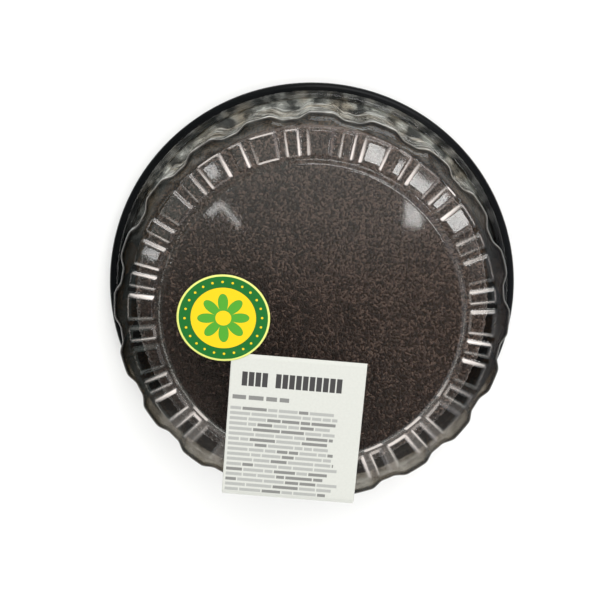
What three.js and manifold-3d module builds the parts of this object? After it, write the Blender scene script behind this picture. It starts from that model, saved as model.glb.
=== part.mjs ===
// A round chocolate cake covered with chocolate sprinkles, in the pack that it is sold in: a black
// vacuum-formed tray, a clear fluted lid that fits inside the rim of the tray, a sticker and a label.
// Millimetres, +Z up, the origin in the middle of the foot of the tray, the label towards -Y.
import * as THREE from "three";
import { mergeVertices } from "three/addons/utils/BufferGeometryUtils.js";
import Module from "manifold-3d";

// ---------------------------------------------------------------- driving dimensions
const RIM_RADIUS = 134;      // outside of the tray's rim
const PACK_HEIGHT = 91;      // floor to the lid's flat top
const CAKE_RADIUS = 107;
const CAKE_TOP = 66;
const FLUTES = 20;           // lobes round the lid

// Tray
const TRAY_SHEET = 0.8;
const FOOT_INNER = 90;       // the foot is a flat ring
const FOOT_OUTER = 109;
const FLOOR_RAISE = 1.2;     // the middle of the floor stands this far above the foot
const FLOOR_STEP = 2;        // and slopes down to it over this width
const WELL_TOP_RADIUS = 116;
const LEDGE_TOP = 11.5;      // where the lid's flange sits
const RIM_INNER = 125.6;
const RIM_TOP = 15;
const RIM_ROUND = 3;         // height of the rim's rounded top
const RIM_SKIRT = 8;         // the rim's outer edge comes down to here
const TRAY_STEPS = 48;

// Lid
const LID_SHEET = 0.7;
const FIT_GAP = 0.3;         // left between pieces that touch
const PANEL_RADIUS = 88.5;   // flat middle of the top
const MOAT_DEPTH = 2.8;      // channel round the panel, and the gaps between pads and ribs
const MOAT_SIDE = 1;         // width that the channel's inner side takes
const PAD_INNER = 92.3;
const PAD_OUTER = 107;
const PAD_FALL = 1;          // pads and ribs are this much lower at their outer ends
const PAD_END = 0.8;         // width that the outer ends take
const PAD_HALF = 3.6;        // degrees; a wide pad tops each lobe
const RIB_HALF = 1.8;        // degrees; a narrow rib stands in each valley
const SIDE_SLOPE = 0.6;      // degrees that the sides of pads and ribs take
const SHOULDER_DROP = 5;     // height of the rounding from the pads' ends down to the wall
const SHOULDER_STEPS = 3;
const SHOULDER_RADIUS = 113.4; // in a valley, and so the next one
const WALL_FOOT_RADIUS = 117.5;
const LOBE_DEPTH_TOP = 3.2;
const LOBE_DEPTH_FOOT = 3.8;
const LOBE_FLAT = 3;         // degrees from a lobe's middle to where it turns in
const LOBE_END = 7.4;        // and to where the valley begins
const FLANGE_RADIUS = 124.3; // here the flange turns up
const FLANGE_ROUND = 1;      // bevel between wall and flange
const LIP_RADIUS = 129;      // and ends in a lip that lies on the tray's rim
const LID_TURN = -2.7;       // degrees; one lobe's middle lies this far from +Y

// Cake
const CAKE_EDGE = 4;         // rounding of the top edge
const CAKE_FOOT_IN = 2;      // the side draws in this much at the foot
const CAKE_STEPS = 60;
const CAKE_TOP_RINGS = 9;
const CAKE_SIDE_RINGS = 4;
const CAKE_UNEVEN = 0.45;    // how far the sprinkled surface rises and falls
const SPRINKLE_LENGTH = 3.6;
const SPRINKLE_RADIUS = 0.65;
const SPRINKLE_SUNK = 0.15;  // its middle lies this far under the bare surface
const SPRINKLES_ON_TOP = 76;
const SPRINKLES_ON_SIDE = 30;
const SPRINKLE_EDGE_GAP = 6; // bare height at the side's foot and under its top edge
const SEED = 11;

// Sticker and label
const STICKER_HALF_WIDTH = 27.2;
const STICKER_HALF_HEIGHT = 25.8;
const STICKER_SHEET = 0.25;
const STICKER_PLACE = [-51.5, -1.2]; // it laps over a corner of the label
const LABEL_WIDTH = 80;
const LABEL_SHEET = 0.25;
const LABEL_FLAT = 84.8;     // from its top edge to where it bends down
const LABEL_BEND = 6;        // radius over the lid's shoulder
const LABEL_BEND_ANGLE = 77; // degrees
const LABEL_TAIL = 2.8;      // straight end down the side
const LABEL_TURN = -4.9;     // degrees, clockwise from above
const LABEL_PLACE = [-7.2, -25.3]; // middle of its top edge

// ---------------------------------------------------------------- helpers
const degrees = THREE.MathUtils.degToRad;
const GOLDEN_ANGLE = Math.PI * (3 - Math.sqrt(5));

function seededRandom(seed) {
  let state = seed;
  return () => {
    state = (state * 16807) % 2147483647;
    return state / 2147483647;
  };
}

const polar = (radius, angle, z) =>
  new THREE.Vector3(radius * Math.cos(angle), radius * Math.sin(angle), z);

// A closed solid from rings of points, from the middle of its top, outwards, down and back to the
// middle of its underside. Rings run anticlockwise from above, each end is one point, and of two rings
// in a row one may have half as many points as the other.
function ringSolid(rings) {
  const points = rings.flat();
  const starts = [];
  rings.reduce((sum, ring) => (starts.push(sum), sum + ring.length), 0);
  const faces = [];
  for (let r = 0; r + 1 < rings.length; r++) {
    const [here, next] = [rings[r], rings[r + 1]];
    const count = Math.max(here.length, next.length);
    for (let i = 0; i < count; i++) {
      const j = (i + 1) % count;
      const at = (ring, start, k) => start + Math.floor((k * ring.length) / count);
      const [a, b] = [at(here, starts[r], i), at(here, starts[r], j)];
      const [c, d] = [at(next, starts[r + 1], i), at(next, starts[r + 1], j)];
      if (a !== b) faces.push(a, c, b);
      if (c !== d) faces.push(b, c, d);
    }
  }
  const geometry = new THREE.BufferGeometry().setFromPoints(points);
  return geometry.setIndex(faces);
}

function named(name, geometry, colour, roughness, extra = {}) {
  const material = new THREE.MeshStandardMaterial({ color: colour, roughness, metalness: 0, ...extra });
  const mesh = new THREE.Mesh(geometry, material);
  mesh.name = name;
  return mesh;
}

// ---------------------------------------------------------------- tray
// Points of the rim's rounded top, from its inner side over to its outer side, inset by the sheet.
function rimArc(inset) {
  const middle = (RIM_INNER + RIM_RADIUS) / 2;
  const half = (RIM_RADIUS - RIM_INNER) / 2 - inset;
  const steps = 5;
  return Array.from({ length: steps + 1 }, (_, i) => {
    const angle = Math.PI * (1 - i / steps);
    const height = (RIM_ROUND - inset) * Math.sin(angle);
    return [middle + half * Math.cos(angle), RIM_TOP - RIM_ROUND + height];
  });
}

// One profile turned round the axis: up the inside to the rim, over it, and back along the underside.
function trayGeometry() {
  const s = TRAY_SHEET;
  const inside = [
    [0, FLOOR_RAISE + s],
    [FOOT_INNER - FLOOR_STEP, FLOOR_RAISE + s],
    [FOOT_INNER, s],
    [FOOT_OUTER - s, s],
    [WELL_TOP_RADIUS, LEDGE_TOP],
    [RIM_INNER, LEDGE_TOP],
    ...rimArc(0),
    [RIM_RADIUS, RIM_SKIRT],
  ];
  const underside = [
    [RIM_RADIUS - s, RIM_SKIRT],
    ...rimArc(s).reverse(),
    [RIM_INNER + s, LEDGE_TOP - s],
    [WELL_TOP_RADIUS + s / 2, LEDGE_TOP - s],
    [FOOT_OUTER, 0],
    [FOOT_INNER, 0],
    [FOOT_INNER - FLOOR_STEP, FLOOR_RAISE],
    [0, FLOOR_RAISE],
  ];
  const profile = [...inside, ...underside].map(([x, y]) => new THREE.Vector2(x, y)).reverse();
  const turned = new THREE.LatheGeometry(profile, TRAY_STEPS).rotateX(Math.PI / 2);
  turned.deleteAttribute("normal");
  turned.deleteAttribute("uv");
  return mergeVertices(turned, 1e-3);
}

// ---------------------------------------------------------------- lid
// Degrees from an angle to the middle of its lobe: 0 on the lobe, 180 / FLUTES in the valley.
function fromLobe(angle) {
  const period = 360 / FLUTES;
  const place = THREE.MathUtils.euclideanModulo(angle, period);
  return Math.min(place, period - place);
}

const lobe = (angle) => 1 - THREE.MathUtils.smoothstep(fromLobe(angle), LOBE_FLAT, LOBE_END);

// 1 on a pad or a rib, 0 in the gaps between them.
function relief(angle) {
  const away = fromLobe(angle);
  const toRib = 180 / FLUTES - away;
  const onPad = 1 - THREE.MathUtils.clamp((away - PAD_HALF) / SIDE_SLOPE, 0, 1);
  const onRib = 1 - THREE.MathUtils.clamp((toRib - RIB_HALF) / SIDE_SLOPE, 0, 1);
  return Math.max(onPad, onRib);
}

// The angles at which pads and ribs begin and end, all the way round.
function lidAngles() {
  const rib = 180 / FLUTES;
  const corners = [
    -PAD_HALF - SIDE_SLOPE, -PAD_HALF, PAD_HALF, PAD_HALF + SIDE_SLOPE,
    rib - RIB_HALF - SIDE_SLOPE, rib - RIB_HALF, rib + RIB_HALF, rib + RIB_HALF + SIDE_SLOPE,
  ];
  return Array.from({ length: FLUTES }, (_, k) => corners.map((c) => c + (k * 360) / FLUTES)).flat();
}

function lidGeometry() {
  const s = LID_SHEET;
  const gap = PACK_HEIGHT - MOAT_DEPTH;
  const flange = LEDGE_TOP + FIT_GAP + s;
  const lip = RIM_TOP + FIT_GAP + s;
  const padStart = (a) => gap + MOAT_DEPTH * relief(a);
  const padEnd = (a) => gap + (MOAT_DEPTH - PAD_FALL) * relief(a);
  const shoulder = (a) => SHOULDER_RADIUS + LOBE_DEPTH_TOP * lobe(a);
  const foot = (a) => WALL_FOOT_RADIUS + LOBE_DEPTH_FOOT * lobe(a);

  // Every angle where the relief turns, and one for each pair of these where there is no relief.
  const fine = lidAngles();
  const coarse = fine.filter((_, i) => i % 2 === 0).map((a, i) => (a + fine[2 * i + 1]) / 2);
  const value = (size, a) => (typeof size === "function" ? size(a) : size);
  const ringAt = (angles, radius, z) =>
    angles.map((a) => polar(value(radius, a), degrees(a + 90 + LID_TURN), value(z, a)));
  const ring = (radius, z) => ringAt(fine, radius, z);
  const plainRing = (radius, z) => ringAt(coarse, radius, z);

  // A ring of the rounded shoulder, its outer or its inner face, from the pads' ends (0) to the wall (1).
  const shoulderRing = (angles, share, inset) => {
    const turned = (Math.PI / 2) * share;
    const start = PAD_OUTER + PAD_END - inset / 2;
    const radius = (a) => start + (shoulder(a) - inset - start) * Math.sin(turned);
    return ringAt(angles, radius, gap - inset - SHOULDER_DROP * (1 - Math.cos(turned)));
  };
  const rounding = Array.from({ length: SHOULDER_STEPS + 1 }, (_, i) => i / SHOULDER_STEPS);

  return ringSolid([
    [new THREE.Vector3(0, 0, PACK_HEIGHT)],
    ring(PANEL_RADIUS, PACK_HEIGHT),
    ring(PANEL_RADIUS + MOAT_SIDE, gap),
    ring(PAD_INNER, padStart),
    ring(PAD_OUTER, padEnd),
    ...rounding.map((share) => shoulderRing(fine, share, 0)),
    plainRing(foot, flange + FLANGE_ROUND),
    plainRing((a) => foot(a) + FLANGE_ROUND, flange),
    plainRing(FLANGE_RADIUS, flange),
    plainRing(FLANGE_RADIUS, lip),
    plainRing(LIP_RADIUS, lip),
    plainRing(LIP_RADIUS, lip - s),
    plainRing(FLANGE_RADIUS + s, lip - s),
    plainRing(FLANGE_RADIUS + s, flange - s),
    plainRing((a) => foot(a) - s, flange - s),
    shoulderRing(coarse, 1, s),
    shoulderRing(coarse, 0.5, s),
    shoulderRing(fine, 0, s),
    ring(PAD_OUTER - s / 2, (a) => padEnd(a) - s),
    ring(PAD_INNER + s / 2, (a) => padStart(a) - s),
    ring(PANEL_RADIUS + MOAT_SIDE - s / 2, gap - s),
    ring(PANEL_RADIUS - s / 2, PACK_HEIGHT - s),
    [new THREE.Vector3(0, 0, PACK_HEIGHT - s)],
  ]);
}

// ---------------------------------------------------------------- cake
// The bare cake: a round with a rolled top edge, its surface rising and falling a little at random.
function cakeCore(random) {
  const bottom = TRAY_SHEET + FLOOR_RAISE + FIT_GAP;
  const flatRadius = CAKE_RADIUS - CAKE_EDGE;
  const edgeIn = CAKE_EDGE * (1 - Math.SQRT1_2);
  const sideTop = CAKE_TOP - CAKE_EDGE;
  const sideStep = (sideTop - bottom - CAKE_FOOT_IN) / (CAKE_SIDE_RINGS - 1);
  const angles = Array.from({ length: CAKE_STEPS }, (_, i) => (i * 2 * Math.PI) / CAKE_STEPS);
  const uneven = () => (random() * 2 - 1) * CAKE_UNEVEN;
  const ring = (radius, z) => angles.map((a) => polar(radius + uneven(), a, z + uneven()));
  const rings = [[new THREE.Vector3(0, 0, CAKE_TOP)]];
  for (let i = 1; i <= CAKE_TOP_RINGS; i++) rings.push(ring((flatRadius * i) / CAKE_TOP_RINGS, CAKE_TOP));
  rings.push(ring(CAKE_RADIUS - edgeIn, CAKE_TOP - edgeIn));
  for (let i = 0; i < CAKE_SIDE_RINGS; i++) rings.push(ring(CAKE_RADIUS, sideTop - sideStep * i));
  rings.push(angles.map((a) => polar(CAKE_RADIUS - CAKE_FOOT_IN, a, bottom)));
  rings.push([new THREE.Vector3(0, 0, bottom)]);
  return ringSolid(rings);
}

// One six-sided sprinkle, lying along X with its middle at the origin.
function sprinkleGeometry() {
  const sprinkle = new THREE.CylinderGeometry(SPRINKLE_RADIUS, SPRINKLE_RADIUS, SPRINKLE_LENGTH, 6);
  return sprinkle.rotateZ(Math.PI / 2);
}

// Where each sprinkle lies: on a sunflower spiral over the top, and on a helix round the side.
function sprinklePlaces(random) {
  const flatRadius = CAKE_RADIUS - CAKE_EDGE - SPRINKLE_LENGTH / 2;
  const lowest = TRAY_SHEET + FLOOR_RAISE + SPRINKLE_EDGE_GAP;
  const sideHeight = CAKE_TOP - CAKE_EDGE - SPRINKLE_EDGE_GAP - lowest;
  const at = (point) => new THREE.Matrix4().setPosition(point);
  const aroundZ = (angle) => new THREE.Matrix4().makeRotationZ(angle);
  const places = [];
  for (let i = 0; i < SPRINKLES_ON_TOP; i++) {
    const radius = flatRadius * Math.sqrt((i + 0.5) / SPRINKLES_ON_TOP);
    const place = at(polar(radius, i * GOLDEN_ANGLE, CAKE_TOP - SPRINKLE_SUNK));
    places.push(place.multiply(aroundZ(random() * Math.PI)));
  }
  for (let i = 0; i < SPRINKLES_ON_SIDE; i++) {
    const angle = i * GOLDEN_ANGLE;
    const height = lowest + (sideHeight * (i + 0.5)) / SPRINKLES_ON_SIDE;
    const place = at(polar(CAKE_RADIUS - SPRINKLE_SUNK, angle, height));
    place.multiply(aroundZ(angle + Math.PI / 2));
    places.push(place.multiply(new THREE.Matrix4().makeRotationY(random() * Math.PI)));
  }
  return places;
}

function asManifold(wasm, geometry) {
  const bare = geometry.clone();
  bare.deleteAttribute("normal");
  bare.deleteAttribute("uv");
  const merged = mergeVertices(bare, 1e-4);
  const vertProperties = merged.attributes.position.array;
  const triVerts = new Uint32Array(merged.index.array);
  return new wasm.Manifold(new wasm.Mesh({ numProp: 3, vertProperties, triVerts }));
}

function fromManifold(solid) {
  const mesh = solid.getMesh();
  const geometry = new THREE.BufferGeometry();
  geometry.setAttribute("position", new THREE.BufferAttribute(mesh.vertProperties, 3));
  return geometry.setIndex(new THREE.BufferAttribute(mesh.triVerts, 1));
}

function cakeGeometry(wasm) {
  const random = seededRandom(SEED);
  let solid = asManifold(wasm, cakeCore(random));
  for (const place of sprinklePlaces(random))
    solid = solid.add(asManifold(wasm, sprinkleGeometry().applyMatrix4(place)));
  return fromManifold(solid);
}

// ---------------------------------------------------------------- sticker and label
function stickerGeometry() {
  const disc = new THREE.CylinderGeometry(1, 1, STICKER_SHEET, 48).rotateX(Math.PI / 2);
  return disc.scale(STICKER_HALF_WIDTH, STICKER_HALF_HEIGHT, 1);
}

// The label's edge seen from its side: flat, then over the shoulder, then straight down the wall.
// X runs from its top edge towards its bottom edge, Y is up, and the flat part's underside is at 0.
function labelGeometry() {
  const bend = degrees(LABEL_BEND_ANGLE);
  const outline = (offset) => {
    const radius = LABEL_BEND + offset;
    const points = [new THREE.Vector2(0, offset)];
    const steps = 8;
    for (let i = 0; i <= steps; i++) {
      const turned = (bend * i) / steps;
      const x = LABEL_FLAT + radius * Math.sin(turned);
      points.push(new THREE.Vector2(x, offset - radius * (1 - Math.cos(turned))));
    }
    const tail = new THREE.Vector2(Math.cos(bend), -Math.sin(bend)).multiplyScalar(LABEL_TAIL);
    points.push(tail.add(points[points.length - 1]));
    return points;
  };
  const strip = new THREE.Shape([...outline(0), ...outline(LABEL_SHEET).reverse()]);
  const solid = new THREE.ExtrudeGeometry(strip, { depth: LABEL_WIDTH, bevelEnabled: false });
  solid.translate(0, 0, -LABEL_WIDTH / 2);
  return solid.rotateX(Math.PI / 2).rotateZ(-Math.PI / 2);
}

// ---------------------------------------------------------------- the pack
const wasm = await Module();
wasm.setup();

const pack = new THREE.Group();
pack.add(named("black_tray", trayGeometry(), "#0b0c0c", 0.25));
pack.add(named("cake", cakeGeometry(wasm), "#34231c", 0.7));
pack.add(named("clear_lid", lidGeometry(), "#f2f5f4", 0.06, { transparent: true, opacity: 0.3 }));

const sticker = named("round_sticker", stickerGeometry(), "#f2c80f", 0.35);
const stickerLevel = PACK_HEIGHT + FIT_GAP + LABEL_SHEET + FIT_GAP + STICKER_SHEET / 2;
sticker.position.set(...STICKER_PLACE, stickerLevel);
pack.add(sticker);

const label = named("paper_label", labelGeometry(), "#f1f1ee", 0.6);
label.position.set(...LABEL_PLACE, PACK_HEIGHT + FIT_GAP);
label.rotation.z = degrees(LABEL_TURN);
pack.add(label);

export default pack;
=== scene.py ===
"""A round chocolate cake under fine chocolate sprinkles, in a glossy black tray with a clear fluted
lid, a round printed sticker and a paper label, on a white table in soft light. Metres, +Z up."""

import math

import bpy
import numpy as np
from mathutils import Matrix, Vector


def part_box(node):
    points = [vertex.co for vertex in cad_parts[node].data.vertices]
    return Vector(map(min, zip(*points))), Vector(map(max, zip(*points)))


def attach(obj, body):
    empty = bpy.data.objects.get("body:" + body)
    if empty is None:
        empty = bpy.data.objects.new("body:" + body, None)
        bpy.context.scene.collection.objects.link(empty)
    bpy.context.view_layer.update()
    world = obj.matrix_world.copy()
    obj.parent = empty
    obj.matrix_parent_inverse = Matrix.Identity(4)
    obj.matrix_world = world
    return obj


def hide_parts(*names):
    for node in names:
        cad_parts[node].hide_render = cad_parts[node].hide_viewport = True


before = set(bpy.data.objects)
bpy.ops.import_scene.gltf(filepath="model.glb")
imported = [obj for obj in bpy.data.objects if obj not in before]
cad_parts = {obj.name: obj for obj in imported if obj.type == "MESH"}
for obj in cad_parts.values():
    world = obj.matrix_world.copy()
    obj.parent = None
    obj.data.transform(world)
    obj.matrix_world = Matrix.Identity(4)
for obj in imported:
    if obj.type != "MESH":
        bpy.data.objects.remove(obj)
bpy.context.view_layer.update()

MM = 0.001
RANDOM = np.random.default_rng(7)

# ---------------------------------------------------------------- sizes, most of them from the frame
TRAY_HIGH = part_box("black_tray")[1]
CAKE_LOW, CAKE_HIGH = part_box("cake")
LID_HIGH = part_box("clear_lid")[1]
STICKER_LOW, STICKER_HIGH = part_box("round_sticker")

# Tray
RIM_RADIUS = TRAY_HIGH.x
RIM_TOP = TRAY_HIGH.z
RIM_INNER = 125.6 * MM
RIM_ROUND = 3 * MM               # height of the rim's rounded top
RIM_SKIRT = 8 * MM               # the rim's outer edge comes down to here
LEDGE_TOP = 11.5 * MM
WELL_TOP_RADIUS = 116 * MM
FOOT_INNER = 90 * MM
FOOT_OUTER = 109 * MM
FLOOR_TOP = 2.0 * MM
TRAY_SHEET = 0.8 * MM

# Lid, from its middle outwards
FLUTES = 20
LID_TURN = math.radians(-2.7)    # one lobe's middle lies this far from +Y
LID_SHEET = 0.3 * MM
LID_TOP = LID_HIGH.z
PANEL_RADIUS = 88.5 * MM
MOAT_DEPTH = 2.8 * MM
PAD_INNER = 92.3 * MM
PAD_OUTER = 107 * MM
PAD_FALL = 1.0 * MM              # pads and ribs are this much lower at their outer ends
PAD_END = 0.8 * MM               # width that the outer ends take
PAD_HALF = 3.4                   # degrees; half of a pad's width
RIB_HALF = 1.6                   # degrees; half of a rib's width
SIDE_SLOPE = 0.9                 # degrees that the sides of pads and ribs take
SHOULDER_DROP = 5 * MM           # from the pads' ends down to the wall
SHOULDER_RADIUS = 113.4 * MM     # in a valley
WALL_FOOT_RADIUS = 117.5 * MM    # in a valley
LOBE_DEPTH_TOP = 3.2 * MM
LOBE_DEPTH_FOOT = 3.8 * MM
LOBE_FLAT = 3.0                  # degrees from a lobe's middle to where it turns in
LOBE_END = 7.4                   # and to where the valley begins
FLANGE_TOP = LEDGE_TOP + 1.0 * MM
FLANGE_RADIUS = 124.3 * MM
LIP_TOP = RIM_TOP + 1.0 * MM
LIP_RADIUS = LID_HIGH.x
POINTS_A_FLUTE = 36              # points of the mesh round each flute
PANEL_SAG = 0.05 * MM
WALL_RIPPLE = 0.22 * MM
RIPPLE_OUTSIDE = 110 * MM, 112.5 * MM  # the ripple sets in between these radii
RIPPLE_ABOVE = 13 * MM, 20 * MM  # and these heights,
RIPPLE_BELOW = 78 * MM, 84 * MM  # and fades between these

# Cake: a core, and the sprinkles that lie on it up to the frame's box
CORE_RADIUS = CAKE_HIGH.x - 1.1 * MM
CORE_TOP = CAKE_HIGH.z - 1.3 * MM
CORE_EDGE = 5 * MM
CORE_FOOT = CAKE_LOW.z
CORE_FOOT_IN = 2 * MM            # the core draws in this much at its foot
CORE_UNEVENNESS = 0.35 * MM
SPRINKLE_RADIUS = 0.50 * MM
SPRINKLE_LENGTH = 2.4 * MM
SPRINKLE_TILT = 0.16             # radians that they usually stand out of the surface
SPRINKLES = 42000
SPRINKLE_SIDES = 4
BARE_FOOT = 3 * MM               # the lowest sprinkles lie this far above the core's foot
LAYER_HEIGHTS = 0.1, 0.45, 0.8   # mm over the core
LAYER_SHARES = 0.35, 0.4, 0.25

# Label and sticker
LABEL_WIDTH = 80 * MM
LABEL_CELL = 0.8 * MM            # the print is laid out in columns of this width
LABEL_FLAT = 84.8 * MM           # from the top edge to where the label bends down
LABEL_BEND = 6 * MM              # radius over the lid's shoulder
LABEL_BEND_ANGLE = math.radians(77)
LABEL_TAIL = 2.8 * MM            # straight end down the side
LABEL_TURN = math.radians(-4.9)
LABEL_PLACE = (-7.2 * MM, -25.3 * MM)  # middle of its top edge
LABEL_SHEET = 0.14 * MM
LABEL_CURL = 0.12 * MM
LABEL_LOW_FACE = LID_TOP + 0.25 * MM
STICKER_SHEET = 0.12 * MM
STICKER_LOW_FACE = LID_TOP + 0.2 * MM
STICKER_LIFT = LABEL_SHEET + 0.25 * MM  # where it laps over the label
STICKER_SLOPE = -2.5 * MM, 0.2 * MM  # it rises between these places inside the label's corner


# ---------------------------------------------------------------- meshes
def add_mesh(name, points, faces):
    """A smooth object at the origin, made of points in metres and a list of faces."""
    mesh = bpy.data.meshes.new(name)
    mesh.from_pydata(np.asarray(points, float).tolist(), [], faces)
    mesh.polygons.foreach_set("use_smooth", [True] * len(mesh.polygons))
    mesh.update()
    piece = bpy.data.objects.new(name, mesh)
    bpy.context.scene.collection.objects.link(piece)
    return piece


def smoothstep(value, low, high):
    t = np.clip((value - low) / (high - low), 0, 1)
    return t * t * (3 - 2 * t)


def rounded_path(corners, steps=3):
    """A path through corners (radius, height, cut), each an array over the angles or a number. A corner
    with a cut is rounded: the path leaves it that far before and after. Returns (radii, heights)."""
    count = max(np.size(v) for corner in corners for v in corner)
    full = [[np.broadcast_to(np.asarray(v, float), (count,)) for v in corner] for corner in corners]
    radii, heights = [full[0][0]], [full[0][1]]
    most_of_a_side = 0.45
    for before, here, after in zip(full, full[1:], full[2:]):
        ends = []
        for other in (before, after):
            run, rise = other[0] - here[0], other[1] - here[1]
            length = np.maximum(np.hypot(run, rise), 1e-7)
            share = np.minimum(here[2], length * most_of_a_side) / length
            ends.append((here[0] + run * share, here[1] + rise * share))
        sharp = not np.any(here[2])
        for t in [0] if sharp else np.linspace(0, 1, steps + 1):
            weights = (1 - t) ** 2, 2 * t * (1 - t), t ** 2
            radii.append(weights[0] * ends[0][0] + weights[1] * here[0] + weights[2] * ends[1][0])
            heights.append(weights[0] * ends[0][1] + weights[1] * here[1] + weights[2] * ends[1][1])
    radii.append(full[-1][0])
    heights.append(full[-1][1])
    return np.array(radii), np.array(heights)


def ring_faces(rings, count, closed_end=False):
    """Faces between rings of count points, the first of which is a single point. Where closed_end is
    true, one more single point follows the last ring."""
    i = np.arange(count)
    j = (i + 1) % count
    faces = [[0, 1 + a, 1 + b] for a, b in zip(i, j)]
    for ring in range(1, rings - 1):
        a, b = 1 + (ring - 1) * count, 1 + ring * count
        faces += np.stack([a + i, b + i, b + j, a + j], axis=1).tolist()
    if closed_end:
        a, end = 1 + (rings - 2) * count, 1 + (rings - 1) * count
        faces += [[a + p, end, a + q] for p, q in zip(i, j)]
    return faces


def revolve(name, radii, heights, angles, closed_end=False):
    """Rings of points round the axis. The first ring is one point on the axis, and so is the last
    where closed_end is true. Faces look outwards from a path that runs from the top's middle outwards."""
    count = len(angles)
    radii = np.broadcast_to(radii, (len(radii), count))
    heights = np.broadcast_to(heights, (len(heights), count))
    last = len(radii) - 1 if closed_end else len(radii)
    rings = np.stack([radii * np.cos(angles), radii * np.sin(angles), heights], axis=2)
    points = [rings[0, :1], *rings[1:last]]
    if closed_end:
        points.append(rings[-1, :1])
    return add_mesh(name, np.concatenate(points), ring_faces(last, count, closed_end))


def give_thickness(piece, thickness):
    """Turns an open sheet into a closed one, its other face on the inner side."""
    modifier = piece.modifiers.new("sheet", "SOLIDIFY")
    modifier.thickness = thickness
    modifier.offset = -1


def waves(x, y, lengths, seed):
    """A smooth field between about -1 and 1: sine waves of the given lengths in random directions."""
    draw = np.random.default_rng(seed)
    usual_peak = 1.4
    total = 0
    for length in lengths:
        turn, phase = draw.uniform(0, 2 * math.pi, 2)
        total = total + np.sin((x * math.cos(turn) + y * math.sin(turn)) * 2 * math.pi / length + phase)
    return total / len(lengths) ** 0.5 / usual_peak


# ---------------------------------------------------------------- materials
class Nodes:
    """Short names for making and linking the nodes of a material or a world."""

    def __init__(self, owner):
        self.owner = owner
        owner.use_nodes = True
        self.tree = owner.node_tree
        self.tree.nodes.clear()

    def node(self, kind, settings=None, **inputs):
        made = self.tree.nodes.new(kind)
        for key, value in (settings or {}).items():
            setattr(made, key, value)
        for key, value in inputs.items():
            self.put(made, key.replace("_", " "), value)
        return made

    def put(self, made, socket, value):
        target = made.inputs[socket]
        if isinstance(value, bpy.types.NodeSocket):
            self.tree.links.new(value, target)
        elif isinstance(value, tuple) and len(value) == 3 and target.type == "RGBA":
            target.default_value = (*value, 1)
        else:
            target.default_value = value

    def place(self):
        return self.node("ShaderNodeTexCoord").outputs["Object"]

    def noise(self, place, scale, detail=2.0):
        return self.node("ShaderNodeTexNoise", Vector=place, Scale=scale, Detail=detail).outputs[0]

    def bump(self, height, strength, distance):
        return self.node("ShaderNodeBump", Height=height, Strength=strength, Distance=distance).outputs[0]

    def math(self, operation, *values):
        made = self.node("ShaderNodeMath", {"operation": operation})
        for index, value in enumerate(values):
            self.put(made, index, value)
        return made.outputs[0]

    def vector_math(self, operation, *values):
        made = self.node("ShaderNodeVectorMath", {"operation": operation})
        for index, value in enumerate(values):
            self.put(made, index, value)
        return made.outputs

    def span(self, value, low, high, at_low, at_high):
        """A value that goes smoothly from at_low to at_high while another goes from low to high."""
        made = self.node("ShaderNodeMapRange", {"interpolation_type": "SMOOTHSTEP"}, Value=value)
        for socket, number in zip(made.inputs[1:5], (low, high, at_low, at_high)):
            socket.default_value = number
        return made.outputs[0]

    def mix_number(self, factor, first, second):
        made = self.node("ShaderNodeMix")
        for index, value in ((0, factor), (2, first), (3, second)):
            self.put(made, index, value)
        return made.outputs[0]

    def mix_colour(self, factor, first, second):
        made = self.node("ShaderNodeMix", {"data_type": "RGBA"})
        for index, value in ((0, factor), (6, first), (7, second)):
            self.put(made, index, value)
        return made.outputs[2]

    def mix_shader(self, factor, first, second):
        made = self.node("ShaderNodeMixShader", Fac=factor)
        self.put(made, 1, first.outputs[0])
        self.put(made, 2, second.outputs[0])
        return made

    def ramp(self, value, *stops):
        made = self.node("ShaderNodeValToRGB", Fac=value)
        elements = made.color_ramp.elements
        while len(elements) < len(stops):
            elements.new(0.5)
        for element, (place, colour) in zip(elements, stops):
            element.position = place
            element.color = (*colour, 1)
        return made.outputs[0]

    def finish(self, shader):
        kind = "World" if isinstance(self.owner, bpy.types.World) else "Material"
        output = self.node("ShaderNodeOutput" + kind)
        self.tree.links.new(shader.outputs[0], output.inputs["Surface"])
        return self.owner


def new_material(name):
    return Nodes(bpy.data.materials.new(name))


def linear(red, green, blue):
    """A colour given as 0-255 screen values, as the renderer's linear numbers."""
    def channel(value):
        value /= 255
        return value / 12.92 if value <= 0.04045 else ((value + 0.055) / 1.055) ** 2.4
    return channel(red), channel(green), channel(blue)


# The clear sheet changes from the look of the lid's top to that of its wall over these depths below
# the top, and its smoke gets weaker further down
HAZE_FADE = 2.9 * MM, 3.4 * MM
GLOSS_FADE = 2.6 * MM, 3.4 * MM
WALL_FADE = 3.0 * MM, 5.0 * MM
SMOKE_FADE = 9.0 * MM, 15.0 * MM
SMOKE_LOSS = 0.4
CLEAR = (0.985, 0.99, 0.98)
SMOKE = (0.26, 0.215, 0.16)
# colours of the whitish layer: haze in the sheet, painted glints on the top and a painted sheen of
# reflected light on the wall
TOP_HAZE_AND_GLINT = (0.87, 0.80, 0.76)
WALL_HAZE_AND_SHEEN = (0.40, (0.68, 0.61, 0.49)), (0.54, (0.88, 0.89, 0.83))
TOP_REFLECTANCE = 0.04           # seen straight on; it rises towards 1 edge-on
WALL_REFLECTANCE = 0.016
STREAK_STRETCH = (0.35, 0.35, 0.75)  # makes the noise longer round the wall than up it


def down_the_lid(s, height, fade, at_top, below):
    """A value that changes from at_top to below over the given depths."""
    return s.span(height, LID_TOP - fade[0], LID_TOP - fade[1], at_top, below)


def streaky_painted_glints(s, wall, facing, place):
    """What the sheet's frost_and_painted_glints is multiplied by: 1 on the top, and on the wall a pattern
    of streaks, painted glints of reflected light, which is faint where it is seen straight on."""
    streaks = s.span(s.noise(place, 330.0, 4.0), 0.40, 0.62, 0.2, 1.9)
    cloud = s.math("MULTIPLY", streaks, s.span(facing, 0.55, 0.90, 0.12, 1.0))
    on_wall = s.math("MULTIPLY", s.math("SUBTRACT", cloud, 1.0), wall)
    return s.math("ADD", on_wall, 1.0)


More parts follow.
